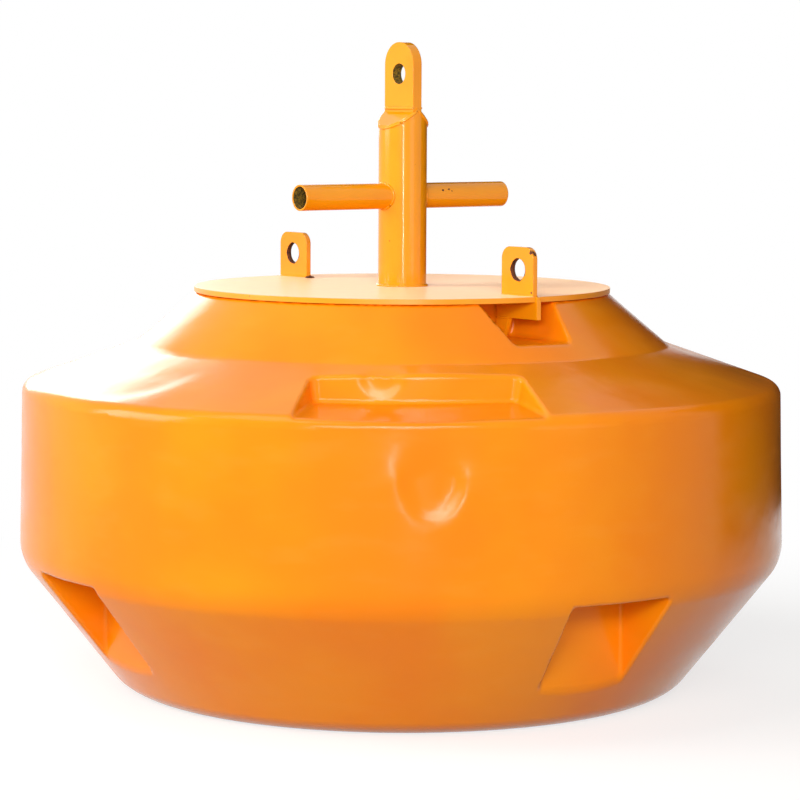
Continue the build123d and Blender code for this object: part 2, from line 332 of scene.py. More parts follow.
def hull_field(points, look):
    """The whole hull, and how near each point is to a pocket's walls or a turned crease."""
    r, z = np.hypot(points[:, 0], points[:, 1]), points[:, 2]
    recess = (r - RECESS_MOUTH_R + RECESS_TAPER * z) / math.hypot(1, RECESS_TAPER)
    recess = both(recess, z - RECESS_ROOF_Z, RECESS_ROUND)
    skin = both(turned_field(r, z), -recess, look.lip_round)
    creases = [PROFILE[name] for name in ("wall_top", "neck_foot")]
    near = np.minimum.reduce([np.hypot(r - crease_r, z - crease_z) for crease_r, crease_z in creases])
    pockets = (
        (shoulder_pocket_field, full_circle(SHOULDER_POCKETS)),
        (lower_pocket_field, full_circle(LOWER_POCKETS)),
        (neck_pocket_field, NECK_POCKET_ANGLES),
    )
    for pocket_field, angles in pockets:
        for angle in angles:
            pocket = pocket_field(points, HULL_TURN + angle, look.inner_round)
            near = np.minimum(near, np.abs(pocket))
            skin = both(skin, -pocket, look.lip_round)
    return skin - unevenness(points, look), near


def gradient(points, look):
    """The field's unit gradient, which is the surface's outward normal."""
    shifts = np.eye(3) * 0.4 * MM
    slope = [hull_field(points + s, look)[0] - hull_field(points - s, look)[0] for s in shifts]
    slope = np.stack(slope, 1)
    return slope / np.maximum(np.linalg.norm(slope, axis=1, keepdims=True), 1e-12)


def surface_net(values, low, step):
    """Vertices and quads where a field on a grid changes sign, one vertex to a cell."""
    inside = values < 0
    units = np.eye(3, dtype=int)
    corners = np.array([(i, j, k) for i in (0, 1) for j in (0, 1) for k in (0, 1)])
    size = np.array(values.shape) - 1
    # The surface passes through the cells that have corners on both sides of it.
    blocks = [inside[tuple(slice(i, i + n) for i, n in zip(corner, size))] for corner in corners]
    count = sum(block.astype(np.int8) for block in blocks)
    cells = np.argwhere((count > 0) & (count < 8))
    index = np.full(size, -1)
    index[tuple(cells.T)] = np.arange(len(cells))
    # A cell's vertex is the mean of the places where the surface crosses the cell's edges.
    total = np.zeros((len(cells), 3))
    crossings = np.zeros(len(cells))
    for a in corners:
        for b in a + units[a == 0]:
            va, vb = values[tuple((cells + a).T)], values[tuple((cells + b).T)]
            cut = (va < 0) != (vb < 0)
            share = np.where(cut, va / np.where(cut, va - vb, 1), 0)
            total += np.where(cut[:, None], cells + a + share[:, None] * (b - a), 0)
            crossings += cut
    vertices = low + step * total / crossings[:, None]
    # Each edge that the surface crosses gives a quad between the four cells round it.
    faces = []
    for axis in range(3):
        along, one, two = units[axis], units[(axis + 1) % 3], units[(axis + 2) % 3]
        first = inside[tuple(slice(0, n - d) for n, d in zip(inside.shape, along))]
        second = inside[tuple(slice(d, n) for n, d in zip(inside.shape, along))]
        edges = np.argwhere(first != second)
        ring = [edges - one - two, edges - two, edges, edges - one]
        quads = np.stack([index[tuple(cell.T)] for cell in ring], 1)
        flip = ~inside[tuple(edges.T)]
        quads[flip] = quads[flip][:, ::-1]
        faces.append(quads)
    return vertices, np.concatenate(faces)


def hull_mesh(look):
    """The hull's skin: a net of quads, finer in the pockets, with every vertex on the surface."""
    margin = 3 * look.cell
    reach = PROFILE["wall_foot"][0] + margin
    across = np.arange(-reach, reach, look.cell)
    up = np.arange(-margin, DECK_LOW.z + margin, look.cell)
    grid = np.stack(np.meshgrid(across, across, up, indexing="ij"), -1).reshape(-1, 3)
    # The field is worked out in a few batches, to save memory.
    batches = np.array_split(grid, 12)
    values = np.concatenate([hull_field(batch, look)[0] for batch in batches])
    values = values.reshape(len(across), len(across), len(up))
    vertices, faces = surface_net(values, grid[0], look.cell)
    # The edges near a pocket or a crease are halved.
    _, near = hull_field(vertices, look)
    work = bmesh.new()
    made = [work.verts.new(v) for v in vertices]
    for face in faces:
        work.faces.new([made[i] for i in face])
    work.verts.index_update()
    fine = [e for e in work.edges if max(near[v.index] for v in e.verts) < look.fine_band]
    bmesh.ops.subdivide_edges(work, edges=fine, cuts=1, use_grid_fill=True)
    work.verts.index_update()
    vertices = np.array([v.co for v in work.verts])
    faces = [[v.index for v in f.verts] for f in work.faces]
    work.free()
    # A few steps along the gradient bring every vertex onto the surface.
    for _ in range(4):
        vertices -= gradient(vertices, look) * hull_field(vertices, look)[0][:, None]
    return vertices, faces, gradient(vertices, look)


# Materials.


def polyethylene(look):
    """Rotationally moulded polyethylene: waxy and coloured right through, with a faint orange peel."""
    material, tree = new_material("moulded_polyethylene")
    place = add_node(tree, "ShaderNodeTexCoord").outputs["Object"]
    # Pigment that settled unevenly in the mould: redder patches about 400 mm across.
    patches = add_node(
        tree, "ShaderNodeTexNoise", inputs={"Vector": place, "Scale": 1 / (400 * MM), "Detail": 3.0}
    )
    patches = add_node(
        tree,
        "ShaderNodeMapRange",
        {"interpolation_type": "SMOOTHSTEP"},
        {"Value": patches.outputs["Fac"], "From Min": 0.35, "From Max": 0.65},
    )
    colour = add_node(
        tree,
        "ShaderNodeMix",
        {"data_type": "RGBA"},
        {0: patches.outputs["Result"], 6: look.colour, 7: look.colour_deep},
    )
    # Rubbed by straps and hands: drier areas about 150 mm long and a third as high.
    stretched = add_node(tree, "ShaderNodeMapping", inputs={"Vector": place, "Scale": (1, 1, 3)})
    rubs = add_node(
        tree,
        "ShaderNodeTexNoise",
        inputs={"Vector": stretched.outputs["Vector"], "Scale": 1 / (150 * MM), "Detail": 3.0},
    )
    rubbed = add_node(
        tree,
        "ShaderNodeMapRange",
        {"interpolation_type": "SMOOTHSTEP"},
        {"Value": rubs.outputs["Fac"], "From Min": 0.5, "From Max": 0.75, "To Max": look.scuffs},
    )
    colour = add_node(
        tree,
        "ShaderNodeMix",
        {"data_type": "RGBA"},
        {0: rubbed.outputs["Result"], 6: colour.outputs[2], 7: look.colour_scuff},
    )
    # Orange peel from the mould's wall: the real 3 mm grain is drawn at 9 mm, so that it shows.
    peel = add_node(
        tree, "ShaderNodeTexNoise", inputs={"Vector": place, "Scale": 1 / (9 * MM), "Detail": 2.0}
    )
    fine = add_node(
        tree,
        "ShaderNodeBump",
        inputs={"Strength": 0.06, "Distance": 0.5 * MM, "Height": peel.outputs["Fac"]},
    )
    # Shrinkage as the skin cooled: soft swells about 110 mm across, which break up the gloss.
    swells = add_node(
        tree, "ShaderNodeTexNoise", inputs={"Vector": place, "Scale": 1 / (110 * MM), "Detail": 3.0}
    )
    bump = add_node(
        tree,
        "ShaderNodeBump",
        inputs={
            "Strength": 0.3,
            "Distance": 4 * MM,
            "Height": swells.outputs["Fac"],
            "Normal": fine.outputs["Normal"],
        },
    )
    rough = add_node(
        tree,
        "ShaderNodeMapRange",
        inputs={
            "Value": rubs.outputs["Fac"],
            "From Min": 0.35,
            "From Max": 0.8,
            "To Min": look.roughness,
            "To Max": look.roughness + 0.12,
        },
    )
    shader = add_node(
        tree,
        "ShaderNodeBsdfPrincipled",
        inputs={
            "Base Color": colour.outputs[2],
            "Roughness": rough.outputs["Result"],
            "Normal": bump.outputs["Normal"],
            "IOR": 1.5,
            "Specular IOR Level": look.gloss,
        },
    )
    add_node(tree, "ShaderNodeOutputMaterial", inputs={"Surface": shader.outputs["BSDF"]})
    return material


def marine_paint(name, look, gloss, roughness, chalk):
    """Gloss alkyd paint, brushed on steel: wet-looking, or chalked by the sun, with soft edges and grit."""
    material, tree = new_material(name)
    place = add_node(tree, "ShaderNodeTexCoord").outputs["Object"]
    # The film is thicker, so deeper in colour, in patches about 120 mm across.
    patches = add_node(
        tree, "ShaderNodeTexNoise", inputs={"Vector": place, "Scale": 1 / (120 * MM), "Detail": 3.0}
    )
    patches = add_node(
        tree,
        "ShaderNodeMapRange",
        {"interpolation_type": "SMOOTHSTEP"},
        {"Value": patches.outputs["Fac"], "From Min": 0.35, "From Max": 0.7},
    )
    colour = add_node(
        tree,
        "ShaderNodeMix",
        {"data_type": "RGBA"},
        {0: patches.outputs["Result"], 6: look.colour, 7: look.colour_deep},
    )
    # Grit caught in the film: sparse brown specks of about 3 mm, drawn at 5 mm so that they show.
    grit = add_node(
        tree,
        "ShaderNodeTexVoronoi",
        {"feature": "F1"},
        {"Vector": place, "Scale": 1 / (60 * MM), "Randomness": 1.0},
    )
    specks = add_node(
        tree,
        "ShaderNodeMapRange",
        {"interpolation_type": "SMOOTHSTEP"},
        {
            "Value": grit.outputs["Distance"],
            "From Min": 0.02,
            "From Max": 0.05,
            "To Min": 0.7,
            "To Max": 0.0,
        },
    )
    colour = add_node(
        tree,
        "ShaderNodeMix",
        {"data_type": "RGBA"},
        {0: specks.outputs["Result"], 6: colour.outputs[2], 7: look.colour_speck},
    )
    # The brushed film is a little lumpy, about 20 mm from lump to lump, and rounds every edge.
    soft = add_node(tree, "ShaderNodeBevel", {"samples": 6}, {"Radius": look.edge_round})
    film = add_node(
        tree, "ShaderNodeTexNoise", inputs={"Vector": place, "Scale": 1 / (20 * MM), "Detail": 3.0}
    )
    bump = add_node(
        tree,
        "ShaderNodeBump",
        inputs={
            "Strength": 0.06,
            "Distance": 1 * MM,
            "Height": film.outputs["Fac"],
            "Normal": soft.outputs["Normal"],
        },
    )
    rough = add_node(
        tree,
        "ShaderNodeMapRange",
        inputs={"Value": film.outputs["Fac"], "To Min": roughness, "To Max": roughness + 0.08},
    )
    # Chalk from the sun is a pale bloom that shows when the surface is seen at a low angle.
    shader = add_node(
        tree,
        "ShaderNodeBsdfPrincipled",
        inputs={
            "Base Color": colour.outputs[2],
            "Roughness": rough.outputs["Result"],
            "Normal": bump.outputs["Normal"],
            "IOR": 1.5,
            "Specular IOR Level": gloss,
            "Sheen Weight": chalk,
            "Sheen Roughness": 0.35,
            "Sheen Tint": look.colour_chalk,
        },
    )
    add_node(tree, "ShaderNodeOutputMaterial", inputs={"Surface": shader.outputs["BSDF"]})
    return material


def bare_steel(name, dark, light):
    """Bare steel, corroded by spray or dusted with overspray: dry, crusty and two-toned. Where it lines a
    bore, its dark tone is partly painted shade.
    """
    material, tree = new_material(name)
    place = add_node(tree, "ShaderNodeTexCoord").outputs["Object"]
    # Crust grains of about 2 mm, drawn at 5 mm so that they show.
    crust = add_node(
        tree,
        "ShaderNodeTexNoise",
        inputs={"Vector": place, "Scale": 1 / (5 * MM), "Detail": 5.0, "Roughness": 0.7},
    )
    tone = add_node(
        tree,
        "ShaderNodeMapRange",
        {"interpolation_type": "SMOOTHSTEP"},
        {"Value": crust.outputs["Fac"], "From Min": 0.4, "From Max": 0.62},
    )
    colour = add_node(
        tree,
        "ShaderNodeMix",
        {"data_type": "RGBA"},
        {0: tone.outputs["Result"], 6: dark, 7: light},
    )
    bump = add_node(
        tree, "ShaderNodeBump", inputs={"Strength": 0.6, "Distance": 1 * MM, "Height": crust.outputs["Fac"]}
    )
    shader = add_node(
        tree,
        "ShaderNodeBsdfPrincipled",
        inputs={"Base Color": colour.outputs[2], "Roughness": 0.85, "Normal": bump.outputs["Normal"]},
    )
    add_node(tree, "ShaderNodeOutputMaterial", inputs={"Surface": shader.outputs["BSDF"]})
    return material


def seen_rays(tree):
    """One for rays that see the background: from the camera, or by gloss or through clear things."""
    ray = add_node(tree, "ShaderNodeLightPath")
    seen = add_node(
        tree,
        "ShaderNodeMath",
        {"operation": "MAXIMUM"},
        {0: ray.outputs["Is Camera Ray"], 1: ray.outputs["Is Glossy Ray"]},
    )
    seen = add_node(
        tree,
        "ShaderNodeMath",
        {"operation": "MAXIMUM"},
        {0: seen.outputs[0], 1: ray.outputs["Is Transmission Ray"]},
    )
    return seen.outputs[0]


def matte_paper(look):
    """Matte studio paper: it holds the buoy's soft shadow, and is plain white further out."""
    material, tree = new_material("matte_paper")
    place = add_node(tree, "ShaderNodeTexCoord").outputs["Object"]
    away = add_node(tree, "ShaderNodeVectorMath", {"operation": "LENGTH"}, {0: place})
    far = add_node(
        tree,
        "ShaderNodeMapRange",
        {"interpolation_type": "SMOOTHSTEP"},
        {"Value": away.outputs["Value"], "From Min": 1.2, "From Max": 2.6},
    )
    # Paper fibres of about 2 mm, drawn at 8 mm so that they show.
    fibres = add_node(
        tree, "ShaderNodeTexNoise", inputs={"Vector": place, "Scale": 1 / (8 * MM), "Detail": 4.0}
    )
    tint = add_node(
        tree,
        "ShaderNodeMix",
        {"data_type": "RGBA"},
        {0: fibres.outputs["Fac"], 6: look.floor_colour, 7: look.floor_fibre},
    )
    paper = add_node(tree, "ShaderNodeBsdfDiffuse", inputs={"Color": tint.outputs[2]})
    lift = add_node(tree, "ShaderNodeEmission", inputs={"Strength": look.floor_lift})
    near = add_node(tree, "ShaderNodeAddShader", inputs={0: paper.outputs[0], 1: lift.outputs[0]})
    white = add_node(tree, "ShaderNodeEmission", inputs={"Strength": 1.0})
    shown = add_node(
        tree,
        "ShaderNodeMixShader",
        inputs={0: far.outputs["Result"], 1: near.outputs[0], 2: white.outputs[0]},
    )
    mixed = add_node(
        tree, "ShaderNodeMixShader", inputs={0: seen_rays(tree), 1: paper.outputs[0], 2: shown.outputs[0]}
    )
    add_node(tree, "ShaderNodeOutputMaterial", inputs={"Surface": mixed.outputs[0]})
    return material


def black_cloth():
    """Black velvet on a board: it soaks up light, with a faint pile."""
    material, tree = new_material("black_velvet")
    place = add_node(tree, "ShaderNodeTexCoord").outputs["Object"]
    # The pile is about 1 mm from tuft to tuft, drawn at 10 mm so that it shows.
    pile = add_node(
        tree, "ShaderNodeTexNoise", inputs={"Vector": place, "Scale": 1 / (10 * MM), "Detail": 3.0}
    )
    tone = add_node(
        tree, "ShaderNodeMapRange", inputs={"Value": pile.outputs["Fac"], "To Min": 0.01, "To Max": 0.03}
    )
    cloth = add_node(tree, "ShaderNodeBsdfDiffuse", inputs={"Color": tone.outputs["Result"]})
    add_node(tree, "ShaderNodeOutputMaterial", inputs={"Surface": cloth.outputs["BSDF"]})
    return material


# Pieces of the dressing.


def bead(name, path, radius, material, closed=False, lumps=0.16):
    """A weld bead: a lumpy tube along a path, with ripples 9 mm apart, as the torch moved on."""
    ripple = 9 * MM
    path = [Vector(p) for p in path]
    count, sides = len(path), 10
    vertices, faces, run = [], [], 0.0
    for i, point in enumerate(path):
        before = path[i - 1] if i or closed else path[i]
        after = path[(i + 1) % count] if i + 1 < count or closed else path[i]
        run += (point - path[i - 1]).length if i else 0.0
        along = (after - before).normalized()
        side = along.orthogonal().normalized()
        up = along.cross(side)
        swell = 1 + 0.12 * math.sin(2 * math.pi * run / ripple) + lumps * noise.noise(point * 60)
        if not closed:
            # The ends are tapered.
            swell *= min(1.0, 0.45 + 0.2 * min(i, count - 1 - i))
        for turn in full_circle(sides):
            vertices.append(point + (side * math.cos(turn) + up * math.sin(turn)) * radius * swell)
    for i in range(count if closed else count - 1):
        j = (i + 1) % count
        for k in range(sides):
            m = (k + 1) % sides
            faces.append((i * sides + k, i * sides + m, j * sides + m, j * sides + k))
    if not closed:
        faces.append(tuple(range(sides))[::-1])
        faces.append(tuple((count - 1) * sides + k for k in range(sides)))
    return add_piece(name, vertices, faces, material)


def straight(start, end):
    """Points from one end to the other, about 3 mm apart."""
    start, end = Vector(start), Vector(end)
    count = max(2, round((end - start).length / (3 * MM)))
    return [start.lerp(end, i / count) for i in range(count + 1)]


def chip(name, centre, normal, width, height, material):
    """A ragged patch where the paint is gone: its middle stands proud, and its rim is just sunk."""
    proud = 0.4 * MM
    normal = Vector(normal).normalized()
    centre = Vector(centre) + normal * proud
    side = Vector((0, 0, 1)).cross(normal)
    side = side.normalized() if side.length > 0.1 else Vector((1, 0, 0))
    up = normal.cross(side)
    vertices = [centre]
    sides = 26
    for turn in full_circle(sides):
        out = side * math.cos(turn) * width / 2 + up * math.sin(turn) * height / 2
        ragged = 0.8 + 0.55 * noise.noise((centre + out) * 150)
        vertices.append(centre - normal * proud * 1.2 + out * ragged)
    faces = [(0, k + 1, (k + 1) % sides + 1) for k in range(sides)]
    return add_piece(name, vertices, faces, material)


def lining(name, centre, axis, radius, length, material, ragged=0.0):
    """A thin skin inside a bore, whose ends may break out raggedly over the rim."""
    centre, axis = Vector(centre), Vector(axis).normalized()
    side = axis.orthogonal().normalized()
    up = axis.cross(side)
    # Rings from one end to the other: which end, and how far the ring grows out there.
    rings = ((-1, ragged), (-1, 0.0), (0, 0.0), (1, 0.0), (1, ragged))
    inset, sides = 0.3 * MM, 48
    vertices, faces = [], []
    for end, flare in rings:
        past = inset if flare else 0.0
        for turn in full_circle(sides):
            out = side * math.cos(turn) + up * math.sin(turn)
            grown = flare * max(0.0, 0.5 + 1.5 * noise.noise(out * 2.3 + Vector((3.5 * end, 0, 0))))
            spread = radius - inset + grown + past
            vertices.append(centre + axis * end * (length / 2 + past) + out * spread)
    for i in range(len(rings) - 1):
        for k in range(sides):
            m = (k + 1) % sides
            faces.append((i * sides + m, i * sides + k, (i + 1) * sides + k, (i + 1) * sides + m))
    return add_piece(name, vertices, faces, material)


def blob(name, centre, reach, height, material):
    """A crusty lump of rust on a level surface."""
    work = bmesh.new()
    bmesh.ops.create_icosphere(work, subdivisions=4, radius=1.0)
    vertices = []
    for v in work.verts:
        swell = 0.75 + 0.5 * noise.noise(v.co * 2.1) + 0.2 * noise.noise(v.co * 6.3)
        across = v.co * swell
        vertices.append(
            Vector(centre) + Vector((across.x * reach, across.y * reach, max(across.z, 0) * height))
        )
    faces = [[v.index for v in face.verts] for face in work.faces]
    work.free()
    return add_piece(name, vertices, faces, material)


def cap_seam(side):
    """The edge where a sloping cap meets the post's pipe, from one face of the padeye to the other."""
    ridge = CAP_HIGH.z + CAP_SLOPE * CAP_LOW.x
    reach = math.acos((CAP_LOW.x + 2 * MM) / POST_R)
    steps = 40
    points = []
    for i in range(steps + 1):
        turn = reach * (2 * i / steps - 1)
        x, y = POST_R * math.cos(turn), POST_R * math.sin(turn)
        points.append((side * x, y, ridge - CAP_SLOPE * x - CAP_THICK))
    return points


# The stage.


def make_floor(look):
    """A wide round floor of paper."""
    reach, sides = 60.0, 64
    rim = [tuple(around(turn, reach)) for turn in full_circle(sides)]
    mesh = bpy.data.meshes.new("floor")
    mesh.from_pydata(rim, [], [tuple(range(sides))])
    mesh.materials.append(matte_paper(look))
    floor = bpy.data.objects.new("floor", mesh)
    bpy.context.scene.collection.objects.link(floor)


def make_flags():
    """Dark boards out of view, which only gloss sees: they keep the white room off the right side."""
    cloth = black_cloth()
    count = 12
    for name, start, end, low, high in FLAGS:
        turns = [math.radians(start + (end - start) * i / count) for i in range(count + 1)]
        points = [tuple(around(t, FLAG_DISTANCE, z)) for z in (low, high) for t in turns]
        faces = [(i, i + 1, i + count + 2, i + count + 1) for i in range(count)]
        mesh = bpy.data.meshes.new(name)
        mesh.from_pydata(points, [], faces)
        mesh.materials.append(cloth)
        flag = bpy.data.objects.new(name, mesh)
        flag.visible_camera = False
        flag.visible_diffuse = False
        flag.visible_shadow = False
        bpy.context.scene.collection.objects.link(flag)


def make_world(look):
    """A soft room: brighter on the camera's left, dim on its right, and plain white where it is seen."""
    world = bpy.data.worlds.new("studio")
    bpy.context.scene.world = world
    world.use_nodes = True
    tree = world.node_tree
    tree.nodes.clear()
    towards = around(look.sky_bearing, math.cos(look.sky_rise), math.sin(look.sky_rise))
    place = add_node(tree, "ShaderNodeTexCoord").outputs["Generated"]
    facing = add_node(tree, "ShaderNodeVectorMath", {"operation": "DOT_PRODUCT"}, {0: place, 1: towards})
    # Full strength within 18 degrees of the bright side, and dim from 120 degrees on.
    room = add_node(
        tree,
        "ShaderNodeMapRange",
        {"interpolation_type": "SMOOTHSTEP"},
        {
            "Value": facing.outputs["Value"],
            "From Min": -0.5,
            "From Max": 0.95,
            "To Min": look.sky_dim,
            "To Max": look.sky_bright,
        },
    )
    strength = add_node(
        tree,
        "ShaderNodeMapRange",
        inputs={"Value": seen_rays(tree), "To Min": room.outputs["Result"], "To Max": 1.0},
    )
    light = add_node(
        tree, "ShaderNodeBackground", inputs={"Color": (1, 1, 1, 1), "Strength": strength.outputs["Result"]}
    )
    add_node(tree, "ShaderNodeOutputWorld", inputs={"Surface": light.outputs["Background"]})


def make_lamps(look):
    """Soft panels round the buoy, all aimed at its middle."""
    middle = Vector((0, 0, 0.75))
    for name, bearing, distance, height, width, tall, power in LAMPS:
        lamp = bpy.data.lights.new(name, "AREA")
        lamp.shape = "RECTANGLE"
        lamp.size = width
        lamp.size_y = tall
        lamp.energy = power * look.lamps
        panel = bpy.data.objects.new(name, lamp)
        panel.location = around(math.radians(bearing), distance, height)
        panel.rotation_euler = (middle - panel.location).to_track_quat("-Z", "Y").to_euler()
        panel.visible_camera = False
        bpy.context.scene.collection.objects.link(panel)


def make_camera():
    """The camera at the photograph's place and angle."""
    data = bpy.data.cameras.new("camera")
    data.sensor_width = 36.0
    data.lens = FOCAL_PIXELS / FRAME_PIXELS * data.sensor_width
    data.shift_x = (FRAME_PIXELS / 2 - AXIS_PIXEL) / FRAME_PIXELS
    data.clip_end = 200.0
    camera = bpy.data.objects.new("camera", data)
    camera.location = around(0, CAMERA_DISTANCE, CAMERA_HEIGHT)
    ahead = around(math.pi, math.cos(CAMERA_PITCH), -math.sin(CAMERA_PITCH))
    turn = ahead.to_track_quat("-Z", "Y").to_matrix().to_4x4() @ Matrix.Rotation(CAMERA_ROLL, 4, "Z")
    camera.rotation_euler = turn.to_euler()
    bpy.context.scene.collection.objects.link(camera)
    bpy.context.scene.camera = camera


# What a user can change.


class HullLook(PropertyGroup):
    """The moulded hull."""

    cell: FloatProperty(
        name="Mesh cell", description="Size of the hull's quads", default=14 * MM, unit="LENGTH"
    )
    fine_band: FloatProperty(
        name="Fine band",
        description="How near to a pocket or crease the quads are halved",
        default=25 * MM,
        unit="LENGTH",
    )
    lip_round: FloatProperty(
        name="Lip rounding", description="Rounding of the pockets' lips", default=8 * MM, unit="LENGTH"
    )
    inner_round: FloatProperty(
        name="Inner rounding", description="Rounding inside the pockets", default=9 * MM, unit="LENGTH"
    )
    wave_depth: FloatProperty(
        name="Waves", description="Unevenness of the moulded skin", default=0.5 * MM, unit="LENGTH"
    )
    dent_depth: FloatProperty(
        name="Dents", description="Depth of the dents, as a share", default=1.0, min=0
    )
    colour: FloatVectorProperty(
        name="Colour",
        description="Orange of the polyethylene",
        subtype="COLOR",
        size=4,
        default=linear("#FC920A"),
    )
    colour_deep: FloatVectorProperty(
        name="Deep colour", description="Redder patches", subtype="COLOR", size=4, default=linear("#FA8606")
    )
    colour_scuff: FloatVectorProperty(
        name="Scuff colour",
        description="Dry, scuffed skin",
        subtype="COLOR",
        size=4,
        default=linear("#FCA84A"),
    )
    scuffs: FloatProperty(
        name="Scuffs", description="How strongly the scuffs show", default=0.08, min=0, max=1
    )
    roughness: FloatProperty(
        name="Roughness", description="Roughness of the clean skin", default=0.15, min=0, max=1
    )
    gloss: FloatProperty(
        name="Gloss", description="Specular level of the waxy skin", default=0.2, min=0, max=1
    )


class SteelLook(PropertyGroup):
    """The painted steelwork and its wear."""

    colour: FloatVectorProperty(
        name="Colour", description="Orange of the paint", subtype="COLOR", size=4, default=linear("#FCA10B")
    )
    colour_deep: FloatVectorProperty(
        name="Deep colour",
        description="Where the film is thicker",
        subtype="COLOR",
        size=4,
        default=linear("#F99A08"),
    )
    colour_speck: FloatVectorProperty(
        name="Speck colour",
        description="Dirt in the film",
        subtype="COLOR",
        size=4,
        default=linear("#A8560C"),
    )
    colour_chalk: FloatVectorProperty(
        name="Chalk colour",
        description="Powdery film on the deck",
        subtype="COLOR",
        size=4,
        default=linear("#FFDFBC"),
    )
    rust_dark: FloatVectorProperty(
        name="Dark rust", description="Old rust", subtype="COLOR", size=4, default=linear("#2E1608")
    )
    # Dark tone of the bores' bare steel, which is partly painted shade for the inside of the bores.
    bore_dark_and_shade: FloatVectorProperty(
        name="Dark bore",
        description="Inside of the crossbar",
        subtype="COLOR",
        size=4,
        default=linear("#3A3008"),
    )
    bore_light: FloatVectorProperty(
        name="Light bore",
        description="Overspray in the bores",
        subtype="COLOR",
        size=4,
        default=linear("#9A7414"),
    )
    rust_light: FloatVectorProperty(
        name="Light rust", description="Fresh rust", subtype="COLOR", size=4, default=linear("#7A3C12")
    )
    roughness: FloatProperty(
        name="Roughness", description="Roughness of the brushed coat", default=0.06, min=0, max=1
    )
    deck_roughness: FloatProperty(
        name="Deck roughness", description="Roughness of the deck's coat", default=0.28, min=0, max=1
    )
    chalk: FloatProperty(
        name="Chalk", description="How chalky the deck's coat is", default=0.55, min=0, max=1
    )
    gloss: FloatProperty(
        name="Gloss", description="Specular level of the brushed coat", default=0.36, min=0, max=1
    )
    deck_gloss: FloatProperty(
        name="Deck gloss", description="Specular level of the coat on the deck", default=0.5, min=0, max=1
    )
    edge_round: FloatProperty(
        name="Edge rounding", description="Rounding that paint gives an edge", default=2 * MM, unit="LENGTH"
    )
    bead_radius: FloatProperty(
        name="Bead radius", description="Half width of the weld beads", default=4 * MM, unit="LENGTH"
    )


class StageLook(PropertyGroup):
    """The studio."""

    floor_colour: FloatVectorProperty(
        name="Floor colour", description="Pale paper", subtype="COLOR", size=4, default=linear("#9C9A97")
    )
    floor_fibre: FloatVectorProperty(
        name="Fibre colour",
        description="Fibres in the paper",
        subtype="COLOR",
        size=4,
        default=linear("#A2A19E"),
    )
    floor_lift: FloatProperty(
        name="Floor lift", description="Whitens the floor to the camera", default=0.74, min=0, max=1
    )
    sky_bright: FloatProperty(
        name="Bright side", description="Strength of the room's bright side", default=0.25, min=0
    )
    sky_dim: FloatProperty(
        name="Dim side", description="Strength of the room's dim side", default=0.08, min=0
    )
    sky_bearing: FloatProperty(
        name="Bright bearing",
        description="Where the bright side is, from the camera",
        default=math.radians(-35),
        unit="ROTATION",
    )
    sky_rise: FloatProperty(
        name="Bright height",
        description="How high the bright side is",
        default=math.radians(12),
        unit="ROTATION",
    )
    lamps: FloatProperty(name="Lamps", description="Power of all the lamps, as a share", default=1.0, min=0)


# Operators.


class BUOY_OT_hull(Operator):
    """Builds the moulded hull with soft lips"""

    bl_idname = "buoy.hull"
    bl_label = "Moulded hull"

    def execute(self, context):
        look = context.scene.buoy_hull
        vertices, faces, normals = hull_mesh(look)
        piece = add_piece(
            "hull_moulding", vertices, faces, polyethylene(look), normals
        )
        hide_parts("hull")
        return {"FINISHED"}


class BUOY_OT_steelwork(Operator):
    """Paints the steelwork"""

    bl_idname = "buoy.steelwork"
    bl_label = "Painted steelwork"

    def execute(self, context):
        look = context.scene.buoy_steel
        paint = marine_paint("brushed_marine_paint", look, look.gloss, look.roughness, 0.0)
        deck_paint = marine_paint(
            "chalked_marine_paint", look, look.deck_gloss, look.deck_roughness, look.chalk
        )
        for name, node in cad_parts.items():
            if name == "hull":
                continue
            for slot in node.material_slots:
                slot.material = deck_paint if name == "deck_plate" else paint
        return {"FINISHED"}


class BUOY_OT_welds(Operator):
    """Lays the weld beads"""

    bl_idname = "buoy.welds"
    bl_label = "Weld beads"

    def execute(self, context):
        look = context.scene.buoy_steel
        paint = bpy.data.materials["brushed_marine_paint"]
        size = look.bead_radius
        # The middle of most beads stands a little out of the corner that they fill.
        for name, radius, height in (
            ("weld_post_foot", POST_R, DECK_TOP + 0.3 * size),
            ("weld_core_tube", CORE_R, PLATE_LOW.z - 0.3 * size),
        ):
            path = [(radius * math.cos(t), radius * math.sin(t), height) for t in full_circle(140)]
            bead(name, path, size, paint, closed=True)
        for side, name in ((-1, "left"), (1, "right")):
            path = []
            for t in full_circle(70):
                y, z = BAR_R * math.cos(t), BAR_Z + BAR_R * math.sin(t)
                path.append((side * (math.sqrt(POST_R**2 - y * y) + 0.2 * size), y, z))
            bead("weld_crossbar_" + name, path, 0.8 * size, paint, closed=True, lumps=0.08)
            bead("weld_cap_" + name, cap_seam(side), 0.8 * size, paint)
            x = side * (EYE_HIGH.x + 0.2 * size)
            ends = (x, EYE_LOW.y, CAP_HIGH.z), (x, EYE_HIGH.y, CAP_HIGH.z)
            bead("weld_padeye_" + name, straight(*ends), size, paint)
        for y_side, lug in ((-1, "near"), (1, "far")):
            for x_side, face in ((-1, "left"), (1, "right")):
                x, z = x_side * (LUG_HALF_THICK + 0.1 * size), DECK_TOP + 0.1 * size
                ends = (x, y_side * LUG_INNER_Y, z), (x, y_side * LUG_OUTER_Y, z)
                bead(f"weld_lug_{lug}_{face}", straight(*ends), 0.8 * size, paint)
                foot = (x, y_side * FOOT_LOW.y, FOOT_HIGH.z), (x, y_side * FOOT_HIGH.y, FOOT_HIGH.z)
                bead(f"weld_foot_{lug}_{face}", straight(*foot), 0.6 * size, paint)
        return {"FINISHED"}


